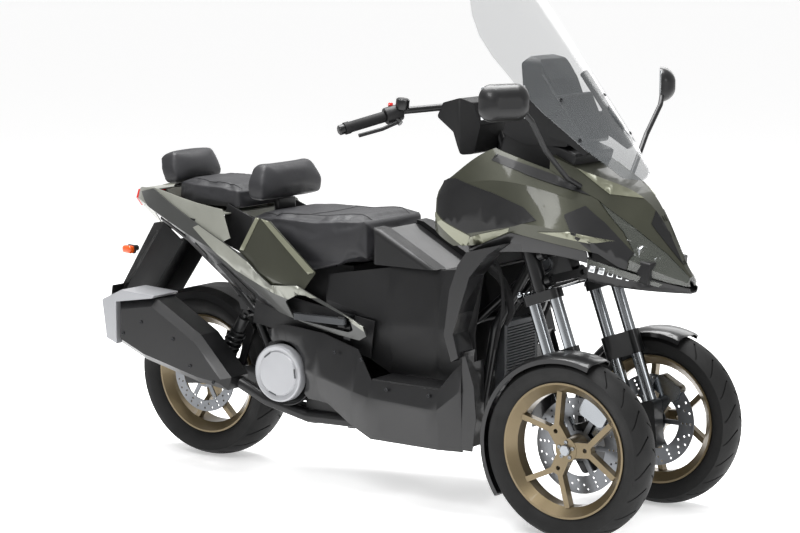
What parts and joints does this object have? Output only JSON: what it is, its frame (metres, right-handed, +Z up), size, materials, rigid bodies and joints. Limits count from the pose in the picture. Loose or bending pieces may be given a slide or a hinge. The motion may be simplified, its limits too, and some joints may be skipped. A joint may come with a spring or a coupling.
{
  "type": "reverse trike",
  "caption": "Leaning three-wheeled scooter with two steered front wheels, one driven rear wheel, windscreen, hinged seat over a storage tub and folding pegs.",
  "frame": {"origin": "bottom centre of the bounding box, on the ground under the vehicle", "axes": "+X forward, +Y to the rider's left, +Z up"},
  "size_m": [2.279, 1.0728, 1.7059],
  "materials": {
    "black_metal": "satin",
    "bright_steel": "polished",
    "cast_grey": "satin",
    "gold_alloy": "satin",
    "tyre": "matt",
    "steel": "brushed",
    "black_plastic": "grained",
    "green_paint": "gloss",
    "silver_paint": "satin",
    "seat_cover": "grained",
    "rubber": "matt",
    "tinted_screen": "clear",
    "lamp_lens": "clear",
    "red_lens": "gloss",
    "amber_lens": "gloss",
    "mirror_black": "gloss"
  },
  "bodies": {
    "chassis": {"frame": "black_metal", "tilt_arms": "black_metal", "tilt_uprights": "black_metal", "engine": "black_metal", "crankcase_cover": "silver_paint", "radiator": "cast_grey", "swingarm": "black_metal", "rear_shocks": "steel", "hugger": "black_plastic", "muffler": "black_metal", "muffler_cap": "black_plastic", "side_panels": "black_plastic", "tunnel": "black_plastic", "side_trims": "silver_paint", "rear_panels": "green_paint", "tail_lower_panels": "green_paint", "tail_cowl": "silver_paint", "storage_tub": "black_plastic", "plate_holder": "black_plastic", "tail_lamp": "red_lens", "indicators": "amber_lens", "legshield": "black_plastic", "arch_lips": "black_plastic", "cowl_sides": "green_paint", "upper_cowl": "green_paint", "nose": "black_plastic", "lamps_front": "lamp_lens", "dash": "black_plastic", "windscreen": "tinted_screen", "screen_bracket": "black_metal", "mirrors": "mirror_black", "pillion_backrest": "seat_cover", "seat_collar": "black_plastic"},
    "handlebar_group": {"handlebar": "black_metal", "grips": "rubber", "bar_cover": "black_plastic"},
    "fork_group_right": {"fork_right": "black_metal", "fork_steel_right": "bright_steel", "fender_right": "green_paint"},
    "fork_group_left": {"fork_left": "black_metal", "fork_steel_left": "bright_steel", "fender_left": "green_paint"},
    "tie_rod_right_body": {"tie_rod_right": "steel"},
    "tie_rod_left_body": {"tie_rod_left": "steel"},
    "wheel_front_right": {"rim_front_right": "gold_alloy", "tyre_front_right": "tyre", "disc_front_right": "steel"},
    "wheel_front_left": {"rim_front_left": "gold_alloy", "tyre_front_left": "tyre", "disc_front_left": "steel"},
    "wheel_rear": {"rim_rear": "gold_alloy", "tyre_rear": "tyre", "disc_rear": "steel"},
    "saddle": {"rider_seat": "seat_cover", "rider_backrest": "seat_cover", "pillion_seat": "seat_cover"},
    "fuel_lid_body": {"fuel_lid": "mirror_black"},
    "centre_stand_body": {"centre_stand": "black_metal"},
    "footpeg_right_body": {"footpeg_right": "cast_grey"},
    "footpeg_left_body": {"footpeg_left": "cast_grey"}
  },
  "joints": [
    {"name": "steering", "type": "hinge", "parent": "chassis", "child": "handlebar_group", "pos_m": [0.385, 0, 1.285], "axis": [-0.342, 0, 0.9397], "range_deg": [-28, 28]},
    {"name": "fork_right", "type": "hinge", "parent": "chassis", "child": "fork_group_right", "pos_m": [0.865, -0.18, 0.2745], "axis": [-0.342, 0, 0.9397], "range_deg": [-28, 28]},
    {"name": "tie_rod_right", "type": "hinge", "parent": "fork_group_right", "child": "tie_rod_right_body", "pos_m": [0.63529, -0.195, 0.70095], "axis": [-0.342, 0, 0.9397], "range_deg": [-28, 28]},
    {"name": "wheel_front_right", "type": "hinge", "parent": "fork_group_right", "child": "wheel_front_right", "pos_m": [0.865, -0.273, 0.2745], "axis": [0, 1, 0], "continuous": true},
    {"name": "fork_left", "type": "hinge", "parent": "chassis", "child": "fork_group_left", "pos_m": [0.865, 0.18, 0.2745], "axis": [-0.342, 0, 0.9397], "range_deg": [-28, 28]},
    {"name": "tie_rod_left", "type": "hinge", "parent": "fork_group_left", "child": "tie_rod_left_body", "pos_m": [0.63529, 0.195, 0.70095], "axis": [-0.342, 0, 0.9397], "range_deg": [-28, 28]},
    {"name": "wheel_front_left", "type": "hinge", "parent": "fork_group_left", "child": "wheel_front_left", "pos_m": [0.865, 0.273, 0.2745], "axis": [0, 1, 0], "continuous": true},
    {"name": "wheel_rear", "type": "hinge", "parent": "chassis", "child": "wheel_rear", "pos_m": [-0.715, 0, 0.2865], "axis": [0, 1, 0], "continuous": true},
    {"name": "saddle_hinge", "type": "hinge", "parent": "chassis", "child": "saddle", "pos_m": [0.04, 0, 0.862], "axis": [0, 1, 0], "range_deg": [0, 55]},
    {"name": "fuel_lid_hinge", "type": "hinge", "parent": "chassis", "child": "fuel_lid_body", "pos_m": [0.29, 0, 0.725], "axis": [0, 1, 0], "range_deg": [0, 75]},
    {"name": "stand_pivot", "type": "hinge", "parent": "chassis", "child": "centre_stand_body", "pos_m": [-0.06, 0, 0.198], "axis": [0, -1, 0], "range_deg": [0, 90]},
    {"name": "footpeg_right", "type": "hinge", "parent": "chassis", "child": "footpeg_right_body", "pos_m": [0, -0.232, 0.562], "axis": [0, 0, 1], "range_deg": [0, 80]},
    {"name": "footpeg_left", "type": "hinge", "parent": "chassis", "child": "footpeg_left_body", "pos_m": [0, 0.232, 0.562], "axis": [0, 0, -1], "range_deg": [0, 80]}
  ],
  "couplings": [
    {"joint": "fork_right", "follows": "steering", "ratio": 1},
    {"joint": "fork_left", "follows": "steering", "ratio": 1},
    {"joint": "tie_rod_right", "follows": "steering", "ratio": -1},
    {"joint": "tie_rod_left", "follows": "steering", "ratio": -1}
  ]
}
